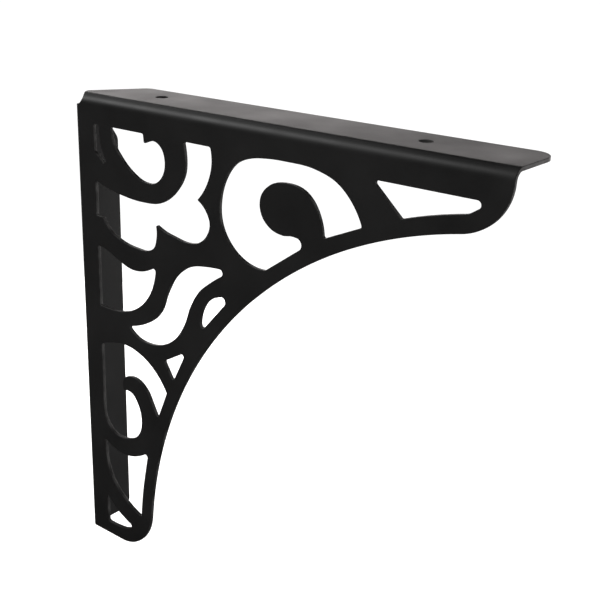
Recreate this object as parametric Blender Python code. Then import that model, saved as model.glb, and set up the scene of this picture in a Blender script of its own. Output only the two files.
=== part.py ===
"""Shelf bracket: one sheet of steel, pierced with scrolls and bent twice, for Blender 4.5 (metres, +Z up).

The sheet is drawn flat, given its thickness and folded. The sizes are in millimetres, and so is the drawing:
X runs out from the wall, Y runs back from the front of the web, and Z runs up, with the shelf at 0.
"""

import math

import bmesh
import bpy
from mathutils import Vector

MM = 0.001

# Overall sizes
REACH = 200.0
HEIGHT = 200.0
SHEET = 1.5
SHELF_FLANGE = 28.8
WALL_FLANGE = 21.6

# Bends: the radius is the outer surface's, and the middle of the sheet keeps its length
SHELF_BEND_RADIUS = 4.5
WALL_BEND_RADIUS = 2.5
BEND_STEPS = 6

# Flange ends: each is cut slanted at the notch, from a near corner by the bend to a far corner
SHELF_NEAR_CORNER = (0.5, 7.0)
SHELF_FAR_CORNER = (13.8, SHELF_FLANGE)
WALL_NEAR_CORNER = (10.8, -4.7)
WALL_FAR_CORNER = (WALL_FLANGE, -21.7)

# Radii of the flanges' rounded corners
SHELF_NEAR_RADIUS = 1.2
WALL_NEAR_RADIUS = 2.0
FAR_RADIUS = 5.0
SHELF_END_RADIUS = 8.0

# Screw holes, at the same two distances from the corner on both flanges
HOLE_RADIUS = 2.5
HOLE_DISTANCES = (34.5, 158.7)
SHELF_HOLE_Y = 16.2
WALL_HOLE_Y = 12.0

# The hollow edge is part of one circle, with a round nose at the shelf's end and one at the foot
HOLLOW_CENTRE = (217.2, -198.4)
HOLLOW_RADIUS = 178.3
HOLLOW_ANGLES = (115.0, 137.0, 159.0)
NOSE_RADIUS = 20.7

# Largest distance between a curve and the straight pieces that stand for it
FLATNESS = 0.025

# The frame's origin, on the wall face half way down the bracket
ORIGIN = Vector((0.0, 12.0, -100.0))

# The openings leave a straight band of the web along each flange
TOP = -11.7
SIDE = 11.3

# Each opening runs round through its points. A point with a third number is a corner, rounded to that
# radius, and the outline passes smoothly through every other point.
SLIVER = (
    (SIDE, TOP, 0.8),
    (14.7, TOP, 0.8),
    (14.7, -16.5),
    (19.5, -27.6, 0.8),
    (17.2, -27.2),
    (14.2, -25.0),
    (SIDE, -23.0, 0.8),
)
BEAN = (
    (21.3, TOP, 1.0),
    (40.4, TOP, 0.8),
    (40.8, -15.7, 0.7),
    (43.6, -14.5),
    (46.2, -13.9),
    (50.1, -15.7),
    (52.2, -20.8),
    (46.9, -30.3),
    (41.0, -31.0),
    (33.2, -27.9),
    (26.8, -22.6),
    (22.7, -17.3),
)
CREST = (
    (62.4, TOP, 0.8),
    (76.3, TOP, 1.0),
    (77.0, -16.5),
    (74.8, -25.5),
    (69.4, -33.0, 0.4),
    (74.0, -36.8),
    (75.8, -41.2),
    (74.0, -46.4),
    (69.9, -49.8),
    (64.5, -51.0),
    (56.5, -50.1),
    (51.0, -48.9),
    (46.5, -46.9, 0.6),
    (46.7, -53.0),
    (45.2, -57.0),
    (41.3, -59.1),
    (35.0, -59.3),
    (26.1, -57.9),
    (19.0, -54.6),
    (15.2, -50.0, 0.8),
    (SIDE, -50.0, 0.6),
    (SIDE, -35.0, 0.8),
    (19.0, -37.3),
    (28.0, -38.8),
    (39.0, -39.4),
    (50.1, -37.8),
    (58.2, -31.8),
    (63.1, -23.5),
    (63.4, -17.0),
)
BOWL = (
    (SIDE, -62.9, 0.8),
    (16.0, -63.7),
    (23.0, -66.5),
    (33.0, -69.2),
    (46.0, -64.7, 1.2),
    (41.2, -78.8),
    (25.0, -89.2),
    (18.0, -89.8),
    (SIDE, -89.6, 0.8),
)
WAVE = (
    (86.2, -58.1, 1.4),
    (75.0, -58.5),
    (65.1, -60.8),
    (57.2, -66.7),
    (52.5, -74.5),
    (48.7, -83.2),
    (34.1, -93.2),
    (28.9, -94.5, 0.8),
    (34.1, -98.1),
    (42.0, -99.1),
    (57.2, -92.0),
    (61.7, -85.4),
    (65.2, -76.8),
    (69.7, -69.8),
    (76.1, -64.4),
)
LEAF = (
    (86.2, -68.6, 1.5),
    (80.0, -69.5),
    (75.1, -72.2),
    (71.9, -76.8),
    (70.8, -85.8, 1.1),
)
WEDGE = (
    (49.8, -104.4, 0.8),
    (62.4, -97.1, 1.0),
    (54.7, -112.1, 1.0),
)
SCROLL = (
    (104.0, -11.9),
    (113.0, -11.6),
    (125.0, -12.2),
    (135.3, -15.7),
    (141.6, -21.6),
    (145.6, -28.8, 0.8),
    (129.5, -35.9, 0.7),
    (128.7, -31.0),
    (120.2, -20.2),
    (113.6, -19.1),
    (105.4, -21.0),
    (100.9, -26.4),
    (101.3, -32.4),
    (105.8, -37.1),
    (111.5, -38.5),
    (116.5, -38.0),
    (119.2, -38.7),
    (120.0, -40.4),
    (119.0, -42.3, 0.3),
    (103.4, -53.3, 1.0),
    (90.8, -50.7),
    (81.6, -38.6),
    (81.5, -30.6),
    (84.2, -22.4),
    (89.2, -16.1),
    (96.1, -13.1),
)
BLADE = (
    (148.9, TOP, 0.9),
    (192.6, TOP, 1.4),
    (185.1, -16.6, 6.0),
    (172.0, -19.5),
    (161.0, -22.8, 0.9),
)
HOOK = (
    (SIDE, -107.3, 0.8),
    (18.0, -105.0),
    (27.0, -103.8),
    (35.9, -105.7),
    (50.8, -118.5, 0.5),
    (45.2, -131.8, 0.8),
    (42.5, -127.0),
    (38.8, -121.0),
    (33.6, -117.7),
    (25.2, -119.1, 1.2),
    (24.0, -121.6),
    (24.7, -125.2, 1.0),
    (29.2, -124.9),
    (33.2, -128.9),
    (35.2, -135.5),
    (33.8, -142.3),
    (24.0, -148.0),
    (17.0, -147.2),
    (SIDE, -137.5, 0.3),
)
SAIL = (
    (SIDE, -152.4, 0.8),
    (16.0, -154.9),
    (34.6, -152.9),
    (38.8, -149.9, 1.2),
    (37.1, -158.0),
    (34.7, -171.0),
    (33.4, -183.2, 0.9),
    (26.1, -180.3),
    (13.8, -168.5),
    (11.5, -160.0),
)
TOE = (
    (SIDE, -179.8, 0.5),
    (16.8, -185.3),
    (22.3, -188.2),
    (28.0, -190.4, 1.0),
    (23.4, -192.9),
    (17.0, -193.9),
    (SIDE, -193.9, 0.9),
)
OPENINGS = (SLIVER, BEAN, CREST, BOWL, WAVE, LEAF, WEDGE, SCROLL, BLADE, HOOK, SAIL, TOE)

# The notch that parts the two bends at the corner, from the wall bend's end up to the shelf flange
NOTCH = (
    (WALL_BEND_RADIUS, WALL_NEAR_CORNER[1], 0.8),
    (3.7, -3.5),
    (4.2, -2.5),
    (3.5, -0.6),
    (1.7, 1.4),
)


def bend_length(radius):
    """How much of the flat sheet a bend takes up."""
    return (radius - SHEET / 2) * math.pi / 2


def on_shelf_flange(x, y):
    """The place on the flat sheet of a point of the shelf flange."""
    return (x, y - 2 * SHELF_BEND_RADIUS + bend_length(SHELF_BEND_RADIUS))


def on_wall_flange(y, z):
    """The place on the flat sheet of a point of the wall flange."""
    return (2 * WALL_BEND_RADIUS - bend_length(WALL_BEND_RADIUS) - y, z)


def sheet_outline():
    """The flat sheet's outer edge, from the notch round by the shelf's end and the foot."""
    centre_x, centre_z = HOLLOW_CENTRE
    angles = [math.radians(angle) for angle in HOLLOW_ANGLES]
    hollow = [(centre_x + HOLLOW_RADIUS * math.cos(a), centre_z + HOLLOW_RADIUS * math.sin(a)) for a in angles]
    hollow_end_z = centre_z + math.sqrt(HOLLOW_RADIUS**2 - (centre_x - REACH) ** 2)
    hollow_end_x = centre_x - math.sqrt(HOLLOW_RADIUS**2 - (centre_z + HEIGHT) ** 2)
    return (
        *NOTCH,
        (*on_shelf_flange(*SHELF_NEAR_CORNER), SHELF_NEAR_RADIUS),
        (*on_shelf_flange(*SHELF_FAR_CORNER), FAR_RADIUS),
        (*on_shelf_flange(REACH, SHELF_FLANGE), SHELF_END_RADIUS),
        (REACH, hollow_end_z, NOSE_RADIUS),
        *hollow,
        (hollow_end_x, -HEIGHT, NOSE_RADIUS),
        (*on_wall_flange(WALL_FLANGE, -HEIGHT), FAR_RADIUS),
        (*on_wall_flange(*WALL_FAR_CORNER), FAR_RADIUS),
        (*on_wall_flange(*WALL_NEAR_CORNER), WALL_NEAR_RADIUS),
    )


def screw_holes():
    """Outlines of the screw holes, each a circle through four points."""
    centres = [on_shelf_flange(distance, SHELF_HOLE_Y) for distance in HOLE_DISTANCES]
    centres += [on_wall_flange(WALL_HOLE_Y, -distance) for distance in HOLE_DISTANCES]
    steps = [(HOLE_RADIUS, 0), (0, HOLE_RADIUS), (-HOLE_RADIUS, 0), (0, -HOLE_RADIUS)]
    return [[(u + du, v + dv) for du, dv in steps] for u, v in centres]


def circle_direction(before, here, after):
    """The direction, at the middle one of three points, of the circle through them."""
    ratio = (after - here).length / (here - before).length
    return ((here - before) * ratio + (after - here) / ratio).normalized()


def mirrored(direction, chord):
    """The direction at an arc's other end, from its chord."""
    along = chord.normalized()
    return 2 * along.dot(direction) * along - direction


def arc(start, leave, arrive, end):
    """A Bezier curve with these ends and end directions: a circle's arc, where one fits."""
    handle = (end - start).length / (3 * math.cos(leave.angle(arrive) / 4) ** 2)
    return (start, start + handle * leave, end - handle * arrive, end)


def split(curve, t):
    """The two parts of a Bezier curve cut at t."""
    a, b, c, d = curve
    ab, bc, cd = a.lerp(b, t), b.lerp(c, t), c.lerp(d, t)
    abc, bcd = ab.lerp(bc, t), bc.lerp(cd, t)
    middle = abc.lerp(bcd, t)
    return (a, ab, abc, middle), (middle, bcd, cd, d)


def without_start(curve, length):
    return split(curve, length / (curve[3] - curve[0]).length)[1]


def without_end(curve, length):
    return split(curve, 1 - length / (curve[3] - curve[0]).length)[0]


def leaving(curve):
    """The direction at a Bezier curve's start."""
    return (curve[1] - curve[0]).normalized()


def arriving(curve):
    """The direction at a Bezier curve's end."""
    return (curve[3] - curve[2]).normalized()


def smooth_run(knots, is_ring=False):
    """Bezier curves through the knots, as one smooth line or ring."""
    if is_ring:
        knots = [knots[-1], *knots, knots[0], knots[1]]
    directions = [circle_direction(*knots[i : i + 3]) for i in range(len(knots) - 2)]
    if is_ring:
        knots = knots[1:-1]
    elif directions:
        first = mirrored(directions[0], knots[1] - knots[0])
        last = mirrored(directions[-1], knots[-1] - knots[-2])
        directions = [first, *directions, last]
    else:
        directions = [(knots[1] - knots[0]).normalized()] * 2
    ends = list(zip(knots, directions))
    return [arc(a, leave, arrive, b) for (a, leave), (b, arrive) in zip(ends, ends[1:])]


def corner_reach(before, after, radius):
    """The length that a rounded corner takes off each of the two curves that meet there."""
    turn = arriving(before).angle(leaving(after))
    for _ in range(3):
        reach = radius * math.tan(turn / 2)
        turn = arriving(without_end(before, reach)).angle(leaving(without_start(after, reach)))
    return reach


def outline(points):
    """Bezier curves round a closed outline, each corner rounded to its radius."""
    corners = [i for i, point in enumerate(points) if len(point) == 3]
    if not corners:
        return smooth_run([Vector(point) for point in points], is_ring=True)
    runs = []
    for start, end in zip(corners, [*corners[1:], corners[0] + len(points)]):
        knots = [Vector(points[i % len(points)][:2]) for i in range(start, end + 1)]
        runs.append(smooth_run(knots))
    radii = [points[i][2] for i in corners]
    reaches = [corner_reach(runs[i - 1][-1], runs[i][0], radius) for i, radius in enumerate(radii)]
    for run, start, end in zip(runs, reaches, [*reaches[1:], reaches[0]]):
        run[0] = without_start(run[0], start)
        run[-1] = without_end(run[-1], end)
    curves = []
    for i, run in enumerate(runs):
        before = runs[i - 1][-1]
        curves.append(arc(before[3], arriving(before), leaving(run[0]), run[0][0]))
        curves += run
    return curves


def flattened(curves):
    """Points along the curves, close enough for straight pieces between them."""
    points = []
    for curve in curves:
        chord = curve[3] - curve[0]
        turn = leaving(curve).angle(chord) + chord.angle(arriving(curve))
        count = max(1, math.ceil(math.sqrt(chord.length * turn / (8 * FLATNESS))))
        points += [split(curve, i / count)[0][3] for i in range(count)]
    return points


def flat_sheet():
    """The pierced sheet as flat faces, with an edge along each line of the bends."""
    bm = bmesh.new()
    for points in (sheet_outline(), *OPENINGS, *screw_holes()):
        verts = [bm.verts.new((*point, 0)) for point in flattened(outline(points))]
        for vert, following in zip(verts, [*verts[1:], verts[0]]):
            bm.edges.new((vert, following))
    bmesh.ops.triangle_fill(bm, edges=bm.edges[:], use_beauty=True, normal=(0, 0, 1))
    steps = [i / BEND_STEPS for i in range(BEND_STEPS + 1)]
    for step in steps:
        v = step * bend_length(SHELF_BEND_RADIUS) - SHELF_BEND_RADIUS
        cut(bm, bm.faces[:], (0, v, 0), (0, 1, 0))
    web = [face for face in bm.faces if face.calc_center_median().y < -SHELF_BEND_RADIUS]
    for step in steps:
        u = WALL_BEND_RADIUS - step * bend_length(WALL_BEND_RADIUS)
        web = cut(bm, web, (u, 0, 0), (1, 0, 0))
    return bm


def cut(bm, faces, point, normal):
    """Divides the faces along a line, and returns them with the new ones."""
    geometry = {*faces}
    for face in faces:
        geometry.update(face.edges, face.verts)
    result = bmesh.ops.bisect_plane(bm, geom=[*geometry], dist=1e-5, plane_co=point, plane_no=normal)
    return [item for item in result["geom"] if isinstance(item, bmesh.types.BMFace)]


def folded(u, v, depth):
    """Where a point of the flat sheet lies once bent, depth being how far it is below the outer surface."""
    is_shelf = v > -SHELF_BEND_RADIUS
    outer = SHELF_BEND_RADIUS if is_shelf else WALL_BEND_RADIUS
    past_bend = v + outer if is_shelf else outer - u
    if past_bend <= 0:
        return Vector((u, depth, v))
    angle = min(past_bend / bend_length(outer), 1) * math.pi / 2
    flat = max(past_bend - bend_length(outer), 0)
    radius = outer - depth
    y = outer - radius * math.cos(angle) + flat
    across = outer - radius * math.sin(angle)
    return Vector((u, y, -across)) if is_shelf else Vector((across, y, v))


def powder_coat():
    material = bpy.data.materials.new("black_powder_coat")
    material.use_nodes = True
    shader = material.node_tree.nodes["Principled BSDF"]
    shader.inputs["Base Color"].default_value = (0.022, 0.021, 0.022, 1)
    shader.inputs["Metallic"].default_value = 0
    shader.inputs["Roughness"].default_value = 0.55
    return material


def make_bracket():
    bm = flat_sheet()
    back = bmesh.ops.extrude_face_region(bm, geom=bm.faces[:], use_keep_orig=True)["geom"]
    for vert in back:
        if isinstance(vert, bmesh.types.BMVert):
            vert.co.z = SHEET
    bmesh.ops.recalc_face_normals(bm, faces=bm.faces)
    for vert in bm.verts:
        vert.co = (folded(*vert.co) - ORIGIN) * MM
    bmesh.ops.triangulate(bm, faces=bm.faces)
    bmesh.ops.recalc_face_normals(bm, faces=bm.faces)

    mesh = bpy.data.meshes.new("bracket")
    bm.to_mesh(mesh)
    bm.free()
    mesh.shade_smooth()
    mesh.set_sharp_from_angle(angle=math.radians(30))
    mesh.materials.append(powder_coat())
    bracket = bpy.data.objects.new("bracket", mesh)
    bpy.context.collection.objects.link(bracket)


for old in list(bpy.data.objects):
    bpy.data.objects.remove(old)
make_bracket()
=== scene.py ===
"""Shelf bracket: the looks of the powder coated sheet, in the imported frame.

The sheet is drawn flat, as the part's own sheet is, with its cut edges rounded, and is then folded.
Sizes are in millimetres. In the drawing, X runs out from the wall, Y runs back from the front of the
web, and Z runs up, with the shelf at 0.
"""

import math

import bmesh
import bpy
from mathutils import Matrix, Vector


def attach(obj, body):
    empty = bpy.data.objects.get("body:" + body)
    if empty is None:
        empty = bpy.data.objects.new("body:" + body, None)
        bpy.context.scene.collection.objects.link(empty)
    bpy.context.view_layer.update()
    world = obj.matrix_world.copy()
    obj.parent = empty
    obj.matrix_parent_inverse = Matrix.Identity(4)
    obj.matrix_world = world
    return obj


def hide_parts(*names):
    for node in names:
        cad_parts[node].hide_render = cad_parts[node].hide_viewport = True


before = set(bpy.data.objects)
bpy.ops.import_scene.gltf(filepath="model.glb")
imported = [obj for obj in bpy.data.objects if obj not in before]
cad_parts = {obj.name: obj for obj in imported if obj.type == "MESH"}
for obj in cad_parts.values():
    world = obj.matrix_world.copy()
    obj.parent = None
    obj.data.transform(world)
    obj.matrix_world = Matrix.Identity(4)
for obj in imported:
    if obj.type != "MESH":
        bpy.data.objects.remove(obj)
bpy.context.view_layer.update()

MM = 0.001

# Overall sizes
REACH = 200.0
HEIGHT = 200.0
SHEET = 1.5
SHELF_FLANGE = 28.8
WALL_FLANGE = 21.6

# Bends: the radius is the outer surface's, and the middle of the sheet keeps its length
SHELF_BEND_RADIUS = 4.5
WALL_BEND_RADIUS = 2.5
BEND_STEPS = 16

# The coat rounds the sheet's cut edges
EDGE_RADIUS = 0.25
EDGE_STEPS = 3

# Flange ends: each is cut slanted at the notch, from a near corner by the bend to a far corner
SHELF_NEAR_CORNER = (0.5, 7.0)
SHELF_FAR_CORNER = (13.8, SHELF_FLANGE)
WALL_NEAR_CORNER = (10.8, -4.7)
WALL_FAR_CORNER = (WALL_FLANGE, -21.7)

# Radii of the flanges' rounded corners
SHELF_NEAR_RADIUS = 1.2
WALL_NEAR_RADIUS = 2.0
FAR_RADIUS = 5.0
SHELF_END_RADIUS = 8.0

# Screw holes, at the same two distances from the corner on both flanges
HOLE_RADIUS = 2.5
HOLE_DISTANCES = (34.5, 158.7)
SHELF_HOLE_Y = 16.2
WALL_HOLE_Y = 12.0

# The hollow edge is part of one circle, with a round nose at the shelf's end and one at the foot
HOLLOW_CENTRE = (217.2, -198.4)
HOLLOW_RADIUS = 178.3
HOLLOW_ANGLES = (115.0, 137.0, 159.0)
NOSE_RADIUS = 20.7

# Largest distance between a curve and the straight pieces that stand for it, and the longest piece
FLATNESS = 0.003
LONGEST_PIECE = 4.0

# The frame's origin, on the wall face half way down the bracket
ORIGIN = Vector((0.0, 12.0, -100.0))

# The openings leave a straight band of the web along each flange
TOP = -11.7
SIDE = 11.3

# Each opening runs round through its points. A point with a third number is a corner, rounded to that
# radius, and the outline passes smoothly through every other point.
SLIVER = (
    (SIDE, TOP, 0.8),
    (14.7, TOP, 0.8),
    (14.7, -16.5),
    (19.5, -27.6, 0.8),
    (17.2, -27.2),
    (14.2, -25.0),
    (SIDE, -23.0, 0.8),
)
BEAN = (
    (21.3, TOP, 1.0),
    (40.4, TOP, 0.8),
    (40.8, -15.7, 0.7),
    (43.6, -14.5),
    (46.2, -13.9),
    (50.1, -15.7),
    (52.2, -20.8),
    (46.9, -30.3),
    (41.0, -31.0),
    (33.2, -27.9),
    (26.8, -22.6),
    (22.7, -17.3),
)
CREST = (
    (62.4, TOP, 0.8),
    (76.3, TOP, 1.0),
    (77.0, -16.5),
    (74.8, -25.5),
    (69.4, -33.0, 0.4),
    (74.0, -36.8),
    (75.8, -41.2),
    (74.0, -46.4),
    (69.9, -49.8),
    (64.5, -51.0),
    (56.5, -50.1),
    (51.0, -48.9),
    (46.5, -46.9, 0.6),
    (46.7, -53.0),
    (45.2, -57.0),
    (41.3, -59.1),
    (35.0, -59.3),
    (26.1, -57.9),
    (19.0, -54.6),
    (15.2, -50.0, 0.8),
    (SIDE, -50.0, 0.6),
    (SIDE, -35.0, 0.8),
    (19.0, -37.3),
    (28.0, -38.8),
    (39.0, -39.4),
    (50.1, -37.8),
    (58.2, -31.8),
    (63.1, -23.5),
    (63.4, -17.0),
)
BOWL = (
    (SIDE, -62.9, 0.8),
    (16.0, -63.7),
    (23.0, -66.5),
    (33.0, -69.2),
    (46.0, -64.7, 1.2),
    (41.2, -78.8),
    (25.0, -89.2),
    (18.0, -89.8),
    (SIDE, -89.6, 0.8),
)
WAVE = (
    (86.2, -58.1, 1.4),
    (75.0, -58.5),
    (65.1, -60.8),
    (57.2, -66.7),
    (52.5, -74.5),
    (48.7, -83.2),
    (34.1, -93.2),
    (28.9, -94.5, 0.8),
    (34.1, -98.1),
    (42.0, -99.1),
    (57.2, -92.0),
    (61.7, -85.4),
    (65.2, -76.8),
    (69.7, -69.8),
    (76.1, -64.4),
)
LEAF = (
    (86.2, -68.6, 1.5),
    (80.0, -69.5),
    (75.1, -72.2),
    (71.9, -76.8),
    (70.8, -85.8, 1.1),
)
WEDGE = (
    (49.8, -104.4, 0.8),
    (62.4, -97.1, 1.0),
    (54.7, -112.1, 1.0),
)
SCROLL = (
    (104.0, -11.9),
    (113.0, -11.6),
    (125.0, -12.2),
    (135.3, -15.7),
    (141.6, -21.6),
    (145.6, -28.8, 0.8),
    (129.5, -35.9, 0.7),
    (128.7, -31.0),
    (120.2, -20.2),
    (113.6, -19.1),
    (105.4, -21.0),
    (100.9, -26.4),
    (101.3, -32.4),
    (105.8, -37.1),
    (111.5, -38.5),
    (116.5, -38.0),
    (119.2, -38.7),
    (120.0, -40.4),
    (119.0, -42.3, 0.3),
    (103.4, -53.3, 1.0),
    (90.8, -50.7),
    (81.6, -38.6),
    (81.5, -30.6),
    (84.2, -22.4),
    (89.2, -16.1),
    (96.1, -13.1),
)
BLADE = (
    (148.9, TOP, 0.9),
    (192.6, TOP, 1.4),
    (185.1, -16.6, 6.0),
    (172.0, -19.5),
    (161.0, -22.8, 0.9),
)
HOOK = (
    (SIDE, -107.3, 0.8),
    (18.0, -105.0),
    (27.0, -103.8),
    (35.9, -105.7),
    (50.8, -118.5, 0.5),
    (45.2, -131.8, 0.8),
    (42.5, -127.0),
    (38.8, -121.0),
    (33.6, -117.7),
    (25.2, -119.1, 1.2),
    (24.0, -121.6),
    (24.7, -125.2, 1.0),
    (29.2, -124.9),
    (33.2, -128.9),
    (35.2, -135.5),
    (33.8, -142.3),
    (24.0, -148.0),
    (17.0, -147.2),
    (SIDE, -137.5, 0.3),
)
SAIL = (
    (SIDE, -152.4, 0.8),
    (16.0, -154.9),
    (34.6, -152.9),
    (38.8, -149.9, 1.2),
    (37.1, -158.0),
    (34.7, -171.0),
    (33.4, -183.2, 0.9),
    (26.1, -180.3),
    (13.8, -168.5),
    (11.5, -160.0),
)
TOE = (
    (SIDE, -179.8, 0.5),
    (16.8, -185.3),
    (22.3, -188.2),
    (28.0, -190.4, 1.0),
    (23.4, -192.9),
    (17.0, -193.9),
    (SIDE, -193.9, 0.9),
)
OPENINGS = (SLIVER, BEAN, CREST, BOWL, WAVE, LEAF, WEDGE, SCROLL, BLADE, HOOK, SAIL, TOE)

# The notch that parts the two bends at the corner, from the wall bend's end up to the shelf flange
NOTCH = (
    (WALL_BEND_RADIUS, WALL_NEAR_CORNER[1], 0.8),
    (3.7, -3.5),
    (4.2, -2.5),
    (3.5, -0.6),
    (1.7, 1.4),
)

# A point this close to a line that the sheet is cut along lies on the line
ON_LINE = 1e-5

# How many times the reach of a rounded corner is worked out
CORNER_PASSES = 3

# Camera: its place in the drawing, its angles in degrees, and its shift as a share of the image
CAMERA_PLACE = (337.4, -271.5, 67.7)
CAMERA_AZIMUTH = 38.74
CAMERA_DOWN = 16.94
CAMERA_ROLL = 1.14
LENS = 62.57
SENSOR_WIDTH = 36.0
CAMERA_SHIFT = -0.10

# Powder coat: the size of each noise, and the levels of finer detail in it
PEEL_NOISE = (1.6, 1.0)
GRAIN_NOISE = (0.35, 1.0)
MOTTLE_NOISE = (25.0, 4.0)
EDGE_WEAR_AND_HIGHLIGHT_NOISE = (6.0, 3.0)

# How deep the coat's orange peel and grain are
PEEL_DEPTH = 0.012
GRAIN_DEPTH = 0.004

# The mottling goes from dark and glossy to light and matt over this part of its noise's values
MOTTLE_RANGE = (0.3, 0.7)
COAT_DARK = (0.0055, 0.0052, 0.0052, 1)
COAT_LIGHT = (0.0090, 0.0086, 0.0084, 1)
COAT_ROUGHNESS = (0.40, 0.50)

# The cut edges go from barely to fully lighter over this part of their noise's values: partly rubbed
# wear, partly a painted highlight along the edges
EDGE_WEAR_AND_HIGHLIGHT_RANGE = (0.42, 0.68)
EDGE_WEAR_AND_HIGHLIGHT_AMOUNT = (0.1, 1.0)
COAT_EDGE_WEAR_AND_HIGHLIGHT = (0.035, 0.034, 0.033, 1)

# Sockets of a Mix node for colours, which share their names with its sockets for other values
MIX_FACTOR = 0
MIX_START = 6
MIX_END = 7
MIX_RESULT = 2

# Floor, far enough below the hung bracket for its shadow to be lost
FLOOR_BELOW = 500.0
FLOOR_SIZE = 60000.0
FLOOR_COLOUR = (0.92, 0.92, 0.92, 1)
FLOOR_ROUGHNESS = 0.9

# Brightness of the white surround
SURROUND = 1.25

# Softboxes: name, place from the frame's origin, width and height, brightness, and colour
WHITE = (1.0, 1.0, 1.0)
WARM = (1.0, 0.955, 0.945)
SOFTBOXES = (
    ("back_softbox", (-550, 1500, -150), (3600, 1500), 2.0, WARM),
    ("back_left_softbox", (-1520, 1250, 150), (1250, 900), 1.0, WARM),
    ("left_softbox", (-1500, 500, -350), (2000, 1700), 0.2, WHITE),
    ("right_softbox", (1700, 1300, -800), (1200, 1200), 1.1, WHITE),
    ("top_softbox", (-1150, 400, 1150), (900, 700), 0.6, WHITE),
    ("upper_left_softbox", (-1250, -760, 1300), (800, 800), 5.0, WHITE),
    ("front_softbox", (-1000, -1400, -550), (1200, 900), 0.13, WHITE),
)


def bend_length(radius):
    """How much of the flat sheet a bend takes up."""
    return (radius - SHEET / 2) * math.pi / 2


def on_shelf_flange(x, y):
    """The place on the flat sheet of a point of the shelf flange."""
    return (x, y - 2 * SHELF_BEND_RADIUS + bend_length(SHELF_BEND_RADIUS))


def on_wall_flange(y, z):
    """The place on the flat sheet of a point of the wall flange."""
    return (2 * WALL_BEND_RADIUS - bend_length(WALL_BEND_RADIUS) - y, z)


def sheet_outline():
    """The flat sheet's outer edge, from the notch round by the shelf's end and the foot."""
    centre_x, centre_z = HOLLOW_CENTRE
    angles = [math.radians(angle) for angle in HOLLOW_ANGLES]
    hollow = [
        (centre_x + HOLLOW_RADIUS * math.cos(angle), centre_z + HOLLOW_RADIUS * math.sin(angle))
        for angle in angles
    ]
    hollow_end_z = centre_z + math.sqrt(HOLLOW_RADIUS**2 - (centre_x - REACH) ** 2)
    hollow_end_x = centre_x - math.sqrt(HOLLOW_RADIUS**2 - (centre_z + HEIGHT) ** 2)
    return (
        *NOTCH,
        (*on_shelf_flange(*SHELF_NEAR_CORNER), SHELF_NEAR_RADIUS),
        (*on_shelf_flange(*SHELF_FAR_CORNER), FAR_RADIUS),
        (*on_shelf_flange(REACH, SHELF_FLANGE), SHELF_END_RADIUS),
        (REACH, hollow_end_z, NOSE_RADIUS),
        *hollow,
        (hollow_end_x, -HEIGHT, NOSE_RADIUS),
        (*on_wall_flange(WALL_FLANGE, -HEIGHT), FAR_RADIUS),
        (*on_wall_flange(*WALL_FAR_CORNER), FAR_RADIUS),
        (*on_wall_flange(*WALL_NEAR_CORNER), WALL_NEAR_RADIUS),
    )


def screw_holes():
    """Outlines of the screw holes, each a circle through four points."""
    centres = [on_shelf_flange(distance, SHELF_HOLE_Y) for distance in HOLE_DISTANCES]
    centres += [on_wall_flange(WALL_HOLE_Y, -distance) for distance in HOLE_DISTANCES]
    steps = [(HOLE_RADIUS, 0), (0, HOLE_RADIUS), (-HOLE_RADIUS, 0), (0, -HOLE_RADIUS)]
    return [[(u + du, v + dv) for du, dv in steps] for u, v in centres]


def circle_direction(before, here, after):
    """The direction, at the middle one of three points, of the circle through them."""
    ratio = (after - here).length / (here - before).length
    return ((here - before) * ratio + (after - here) / ratio).normalized()


def mirrored(direction, chord):
    """The direction at an arc's other end, from its chord."""
    along = chord.normalized()
    return 2 * along.dot(direction) * along - direction


def arc(start, leave, arrive, end):
    """A Bezier curve with these ends and end directions: a circle's arc, where one fits."""
    handle = (end - start).length / (3 * math.cos(leave.angle(arrive) / 4) ** 2)
    return (start, start + handle * leave, end - handle * arrive, end)


def split(curve, t):
    """The two parts of a Bezier curve cut at t."""
    a, b, c, d = curve
    ab, bc, cd = a.lerp(b, t), b.lerp(c, t), c.lerp(d, t)
    abc, bcd = ab.lerp(bc, t), bc.lerp(cd, t)
    middle = abc.lerp(bcd, t)
    return (a, ab, abc, middle), (middle, bcd, cd, d)


def without_start(curve, length):
    """A Bezier curve without about this length at its start."""
    return split(curve, length / (curve[3] - curve[0]).length)[1]


def without_end(curve, length):
    """A Bezier curve without about this length at its end."""
    return split(curve, 1 - length / (curve[3] - curve[0]).length)[0]


def leaving(curve):
    """The direction at a Bezier curve's start."""
    return (curve[1] - curve[0]).normalized()


def arriving(curve):
    """The direction at a Bezier curve's end."""
    return (curve[3] - curve[2]).normalized()


def smooth_run(knots, is_ring=False):
    """Bezier curves through the knots, as one smooth line or ring."""
    if is_ring:
        knots = [knots[-1], *knots, knots[0], knots[1]]
    directions = [circle_direction(*knots[i : i + 3]) for i in range(len(knots) - 2)]
    if is_ring:
        knots = knots[1:-1]
    elif directions:
        first = mirrored(directions[0], knots[1] - knots[0])
        last = mirrored(directions[-1], knots[-1] - knots[-2])
        directions = [first, *directions, last]
    else:
        directions = [(knots[1] - knots[0]).normalized()] * 2
    ends = list(zip(knots, directions))
    return [arc(a, leave, arrive, b) for (a, leave), (b, arrive) in zip(ends, ends[1:])]


def corner_reach(before, after, radius):
    """The length that a rounded corner takes off each of the two curves that meet there."""
    turn = arriving(before).angle(leaving(after))
    # The curves bend on their way to the corner, so the turn is measured again where it takes over
    for _ in range(CORNER_PASSES):
        reach = radius * math.tan(turn / 2)
        turn = arriving(without_end(before, reach)).angle(leaving(without_start(after, reach)))
    return reach


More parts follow.
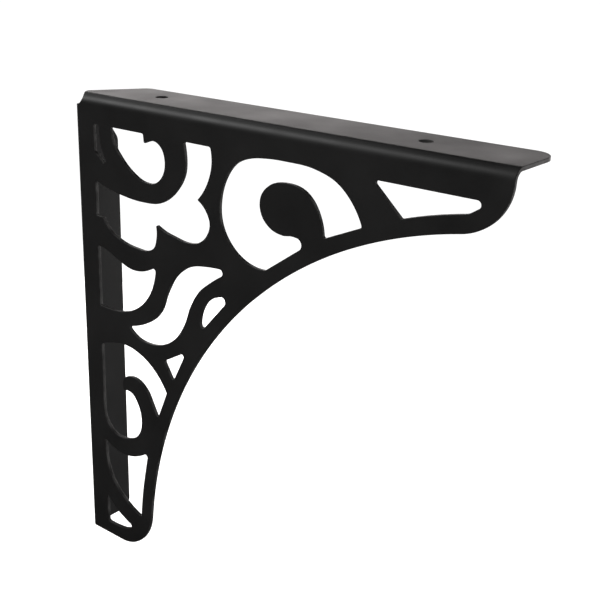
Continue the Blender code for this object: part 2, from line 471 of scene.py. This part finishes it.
def outline(points):
    """Bezier curves round a closed outline, each corner rounded to its radius."""
    corners = [i for i, point in enumerate(points) if len(point) == 3]
    if not corners:
        return smooth_run([Vector(point) for point in points], is_ring=True)
    runs = []
    for start, end in zip(corners, [*corners[1:], corners[0] + len(points)]):
        knots = [Vector(points[i % len(points)][:2]) for i in range(start, end + 1)]
        runs.append(smooth_run(knots))
    radii = [points[i][2] for i in corners]
    reaches = [corner_reach(runs[i - 1][-1], runs[i][0], radius) for i, radius in enumerate(radii)]
    for run, start, end in zip(runs, reaches, [*reaches[1:], reaches[0]]):
        run[0] = without_start(run[0], start)
        run[-1] = without_end(run[-1], end)
    curves = []
    for i, run in enumerate(runs):
        before = runs[i - 1][-1]
        curves.append(arc(before[3], arriving(before), leaving(run[0]), run[0][0]))
        curves += run
    return curves


def edge_points(curves, is_opening):
    """Points along a closed outline, each with the direction that leads out of the sheet there."""
    points = []
    for curve in curves:
        chord = curve[3] - curve[0]
        turn = leaving(curve).angle(chord) + chord.angle(arriving(curve))
        # An arc stands off its chord by an eighth of the chord times the turn
        for_bow = math.sqrt(chord.length * turn / (8 * FLATNESS))
        count = max(1, math.ceil(for_bow), math.ceil(chord.length / LONGEST_PIECE))
        for i in range(count):
            rest = split(curve, i / count)[1]
            points.append((rest[0], leaving(rest)))
    area = sum(a.cross(b) for (a, _), (b, _) in zip(points, [*points[1:], points[0]]))
    side = -1 if (area > 0) == is_opening else 1
    return [(point, side * Vector((along.y, -along.x))) for point, along in points]


def edge_profile():
    """Steps of the rounded edge, front to back: how far in, how deep, and the slope there."""
    angles = [math.pi / 2 * i / EDGE_STEPS for i in range(EDGE_STEPS + 1)]
    front = [(EDGE_RADIUS * (1 - math.sin(a)), EDGE_RADIUS * (1 - math.cos(a)), a) for a in angles]
    back = [(inset, SHEET - depth, math.pi - a) for inset, depth, a in reversed(front)]
    return front + back


def flat_sheet():
    """The pierced flat sheet with rounded edges, and its points' layers of normals and of rims."""
    bm = bmesh.new()
    normals = bm.verts.layers.float_vector.new("normal")
    rims = bm.verts.layers.float.new("rim")
    profile = edge_profile()
    outlines = [(sheet_outline(), False)]
    outlines += [(points, True) for points in (*OPENINGS, *screw_holes())]
    back_of = {}
    for points, is_opening in outlines:
        rings = []
        edge = edge_points(outline(points), is_opening)
        for inset, depth, slope in profile:
            ring = []
            for point, out in edge:
                vert = bm.verts.new((*(point - inset * out), depth))
                vert[normals] = (*(math.sin(slope) * out), -math.cos(slope))
                vert[rims] = math.sin(slope)
                ring.append(vert)
            rings.append(ring)
        for ring, below in zip(rings, rings[1:]):
            for i in range(len(ring)):
                bm.faces.new((ring[i - 1], ring[i], below[i], below[i - 1]))
        back_of.update(zip(rings[0], rings[-1]))
    edges = [edge for edge in bm.edges if all(vert in back_of for vert in edge.verts)]
    front = bmesh.ops.triangle_fill(bm, edges=edges, use_beauty=True, normal=(0, 0, -1))["geom"]
    for face in [item for item in front if isinstance(item, bmesh.types.BMFace)]:
        bm.faces.new([back_of[vert] for vert in reversed(face.verts)])
    return bm, normals, rims


def cut_along_bends(bm):
    """Divides the flat sheet along each line of the two bends."""
    steps = [i / BEND_STEPS for i in range(BEND_STEPS + 1)]
    for step in steps:
        v = step * bend_length(SHELF_BEND_RADIUS) - SHELF_BEND_RADIUS
        cut(bm, bm.faces[:], (0, v, 0), (0, 1, 0))
    web = [face for face in bm.faces if face.calc_center_median().y < -SHELF_BEND_RADIUS]
    for step in steps:
        u = WALL_BEND_RADIUS - step * bend_length(WALL_BEND_RADIUS)
        web = cut(bm, web, (u, 0, 0), (1, 0, 0))


def cut(bm, faces, point, normal):
    """Divides the faces along a line, and returns them with the new ones."""
    geometry = {*faces}
    for face in faces:
        geometry.update(face.edges, face.verts)
    line = {"dist": ON_LINE, "plane_co": point, "plane_no": normal}
    result = bmesh.ops.bisect_plane(bm, geom=[*geometry], **line)
    return [item for item in result["geom"] if isinstance(item, bmesh.types.BMFace)]


def folded(u, v, depth):
    """Where a point of the flat sheet lies once bent, and the turn that the sheet has made there."""
    is_shelf = v > -SHELF_BEND_RADIUS
    outer = SHELF_BEND_RADIUS if is_shelf else WALL_BEND_RADIUS
    past_bend = v + outer if is_shelf else outer - u
    if past_bend <= 0:
        return Vector((u, depth, v)), Matrix.Identity(3)
    angle = min(past_bend / bend_length(outer), 1) * math.pi / 2
    flat = max(past_bend - bend_length(outer), 0)
    radius = outer - depth
    y = outer - radius * math.cos(angle) + flat
    across = outer - radius * math.sin(angle)
    if is_shelf:
        return Vector((u, y, -across)), Matrix.Rotation(-angle, 3, "X")
    return Vector((across, y, v)), Matrix.Rotation(-angle, 3, "Z")


def to_world(point):
    return (Vector(point) - ORIGIN) * MM


def make_bracket():
    bm, normals, rims = flat_sheet()
    cut_along_bends(bm)
    bmesh.ops.triangulate(bm, faces=bm.faces)
    directions = []
    for vert in bm.verts:
        place, turn = folded(*vert.co)
        u, v, depth = vert[normals]
        directions.append((turn @ Vector((u, depth, v))).normalized())
        vert.co = to_world(place)
    bmesh.ops.recalc_face_normals(bm, faces=bm.faces)
    if bm.calc_volume(signed=True) < 0:
        bmesh.ops.reverse_faces(bm, faces=bm.faces)
    bm.verts.layers.float_vector.remove(normals)
    mesh = bpy.data.meshes.new("bracket_sheet")
    bm.to_mesh(mesh)
    bm.free()
    mesh.shade_smooth()
    mesh.normals_split_custom_set_from_vertices(directions)
    bracket = bpy.data.objects.new("bracket_sheet", mesh)
    bpy.context.scene.collection.objects.link(bracket)
    return bracket


def make_camera():
    data = bpy.data.cameras.new("camera")
    data.lens = LENS
    data.sensor_width = SENSOR_WIDTH
    data.shift_y = CAMERA_SHIFT
    camera = bpy.data.objects.new("camera", data)
    bpy.context.scene.collection.objects.link(camera)
    turn = Matrix.Rotation(math.radians(CAMERA_AZIMUTH), 4, "Z")
    tilt = Matrix.Rotation(math.radians(90 - CAMERA_DOWN), 4, "X")
    roll = Matrix.Rotation(math.radians(CAMERA_ROLL), 4, "Z")
    camera.matrix_world = Matrix.Translation(to_world(CAMERA_PLACE)) @ turn @ tilt @ roll
    bpy.context.scene.camera = camera


def make_floor():
    bm = bmesh.new()
    bmesh.ops.create_grid(bm, x_segments=1, y_segments=1, size=FLOOR_SIZE / 2 * MM)
    mesh = bpy.data.meshes.new("floor")
    bm.to_mesh(mesh)
    bm.free()
    floor = bpy.data.objects.new("floor", mesh)
    floor.location.z = to_world((0, 0, -HEIGHT - FLOOR_BELOW)).z
    floor.visible_glossy = False
    bpy.context.scene.collection.objects.link(floor)
    material = bpy.data.materials.new("floor")
    material.use_nodes = True
    shader = material.node_tree.nodes["Principled BSDF"]
    shader.inputs["Base Color"].default_value = FLOOR_COLOUR
    shader.inputs["Roughness"].default_value = FLOOR_ROUGHNESS
    mesh.materials.append(material)
    return floor


def softbox(name, place, size, brightness, colour):
    """A soft light that faces the bracket. The camera doesn't see it, only its light."""
    data = bpy.data.lights.new(name, "AREA")
    data.shape = "RECTANGLE"
    width, height = size
    data.size = width * MM
    data.size_y = height * MM
    data.energy = brightness * math.pi * data.size * data.size_y
    data.color = colour
    light = bpy.data.objects.new(name, data)
    light.location = Vector(place) * MM
    light.rotation_euler = (-light.location).to_track_quat("-Z", "Y").to_euler()
    light.visible_camera = False
    bpy.context.scene.collection.objects.link(light)


def light_stage():
    """A white surround, and softboxes. The coat's gloss shows the softboxes and not the surround."""
    world = bpy.data.worlds.new("studio")
    bpy.context.scene.world = world
    world.use_nodes = True
    background = world.node_tree.nodes["Background"]
    background.inputs["Color"].default_value = (1, 1, 1, 1)
    background.inputs["Strength"].default_value = SURROUND
    world.cycles_visibility.glossy = False
    bpy.context.scene.view_settings.view_transform = "Standard"
    for values in SOFTBOXES:
        softbox(*values)


def noise(tree, size, detail):
    """Noise over the bracket, from 0 to 1, with features of about this size in millimetres."""
    texture = tree.nodes.new("ShaderNodeTexNoise")
    texture.inputs["Scale"].default_value = 1 / (size * MM)
    texture.inputs["Detail"].default_value = detail
    place = tree.nodes.new("ShaderNodeTexCoord")
    tree.links.new(place.outputs["Object"], texture.inputs["Vector"])
    return texture.outputs["Fac"]


def mapped(tree, value, values, results=(0.0, 1.0)):
    """The value, with this range of values stretched to the range of results."""
    node = tree.nodes.new("ShaderNodeMapRange")
    tree.links.new(value, node.inputs["Value"])
    for name, number in zip(("From Min", "From Max", "To Min", "To Max"), (*values, *results)):
        node.inputs[name].default_value = number
    return node.outputs["Result"]


def product(tree, a, b):
    node = tree.nodes.new("ShaderNodeMath")
    node.operation = "MULTIPLY"
    tree.links.new(a, node.inputs[0])
    tree.links.new(b, node.inputs[1])
    return node.outputs["Value"]


def mixed(tree, factor, start, end):
    """A colour from start to end by the factor. The start may be another node's colour."""
    node = tree.nodes.new("ShaderNodeMix")
    node.data_type = "RGBA"
    tree.links.new(factor, node.inputs[MIX_FACTOR])
    if isinstance(start, tuple):
        node.inputs[MIX_START].default_value = start
    else:
        tree.links.new(start, node.inputs[MIX_START])
    node.inputs[MIX_END].default_value = end
    return node.outputs[MIX_RESULT]


def bumped(tree, height, distance, under=None):
    """A bump of this height in millimetres, on top of another one."""
    node = tree.nodes.new("ShaderNodeBump")
    node.inputs["Distance"].default_value = distance * MM
    tree.links.new(height, node.inputs["Height"])
    if under:
        tree.links.new(under, node.inputs["Normal"])
    return node.outputs["Normal"]


def powder_coat():
    """Matt black: orange peel, a fine grain, faint mottling, and cut edges a little lighter, partly as
    rubbed wear and partly as a painted highlight.
    """
    material = bpy.data.materials.new("black_powder_coat")
    material.use_nodes = True
    tree = material.node_tree
    shader = tree.nodes["Principled BSDF"]
    rim = tree.nodes.new("ShaderNodeAttribute")
    rim.attribute_name = "rim"
    peel = noise(tree, *PEEL_NOISE)
    grain = noise(tree, *GRAIN_NOISE)
    mottle = noise(tree, *MOTTLE_NOISE)
    wear_and_highlight_patches = mapped(tree, noise(tree, *EDGE_WEAR_AND_HIGHLIGHT_NOISE), EDGE_WEAR_AND_HIGHLIGHT_RANGE, EDGE_WEAR_AND_HIGHLIGHT_AMOUNT)
    # Painted highlight, partly wear: the cut edges are mixed in patches toward a lighter coat colour
    edge_wear_and_highlight = product(tree, rim.outputs["Fac"], wear_and_highlight_patches)

    colour = mixed(tree, mapped(tree, mottle, MOTTLE_RANGE), COAT_DARK, COAT_LIGHT)
    roughness = mapped(tree, mottle, MOTTLE_RANGE, COAT_ROUGHNESS)
    bumps = bumped(tree, grain, GRAIN_DEPTH, bumped(tree, peel, PEEL_DEPTH))
    tree.links.new(mixed(tree, edge_wear_and_highlight, colour, COAT_EDGE_WEAR_AND_HIGHLIGHT), shader.inputs["Base Color"])
    tree.links.new(roughness, shader.inputs["Roughness"])
    tree.links.new(bumps, shader.inputs["Normal"])
    return material


bracket = make_bracket()
bracket.data.materials.append(powder_coat())
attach(bracket, "root")
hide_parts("bracket")
floor = make_floor()
light_stage()
make_camera()
